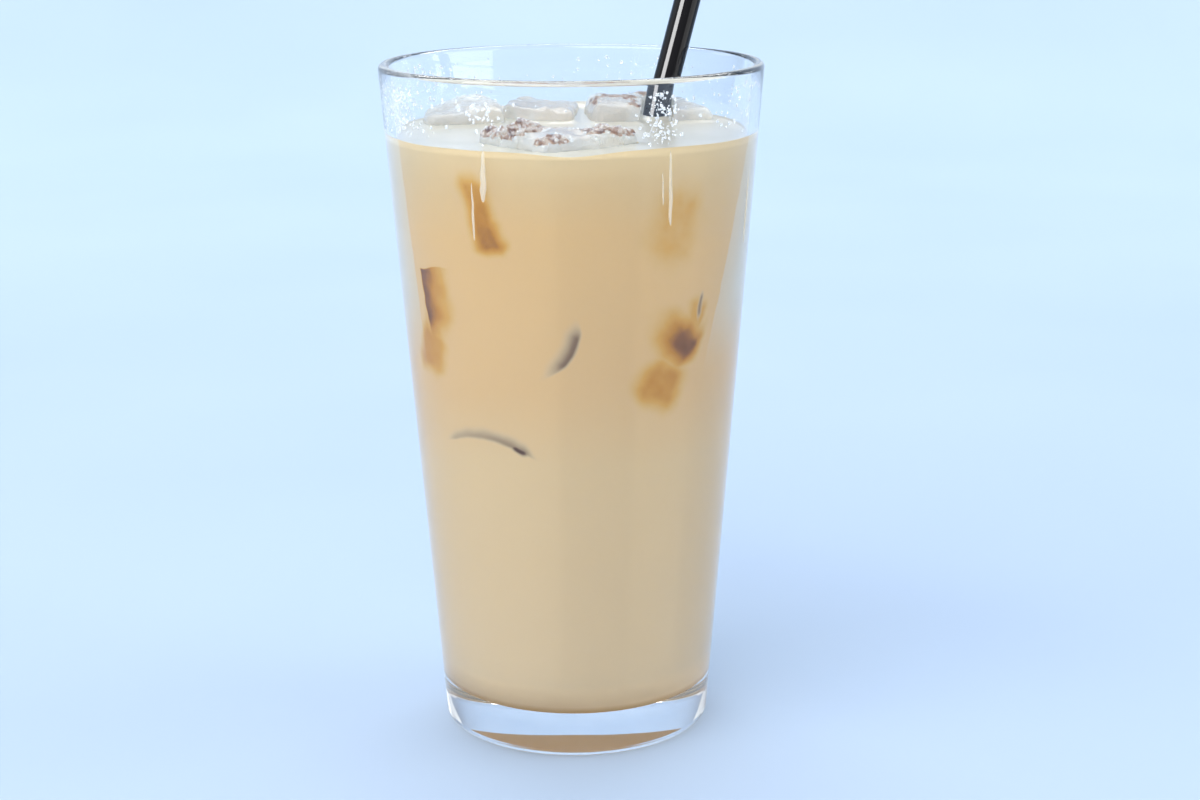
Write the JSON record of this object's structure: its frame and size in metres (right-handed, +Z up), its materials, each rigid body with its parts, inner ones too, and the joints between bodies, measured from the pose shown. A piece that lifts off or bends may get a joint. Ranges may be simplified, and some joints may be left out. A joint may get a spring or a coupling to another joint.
{
  "type": "iced latte",
  "caption": "Tapered clear tumbler with a thick base, filled with milky iced coffee, floating ice and a black straw that leans on the rim.",
  "frame": {"origin": "middle of the ring that the glass stands on, at the level of the table", "axes": "+Z up the glass's axis; the straw leans towards +X and +Y, and -Y is the front"},
  "size_m": [0.0838, 0.0859, 0.1916],
  "materials": {
    "glass": "clear polished soda-lime glass",
    "latte": "wet opaque milky coffee",
    "straw": "glossy black plastic",
    "ice": "clear melting ice with cloudy cores"
  },
  "bodies": {
    "root": {"glass": "glass", "latte": "latte", "straw": "straw", "ice_left": "ice", "ice_back": "ice", "ice_right": "ice", "ice_front": "ice"}
  },
  "joints": []
}
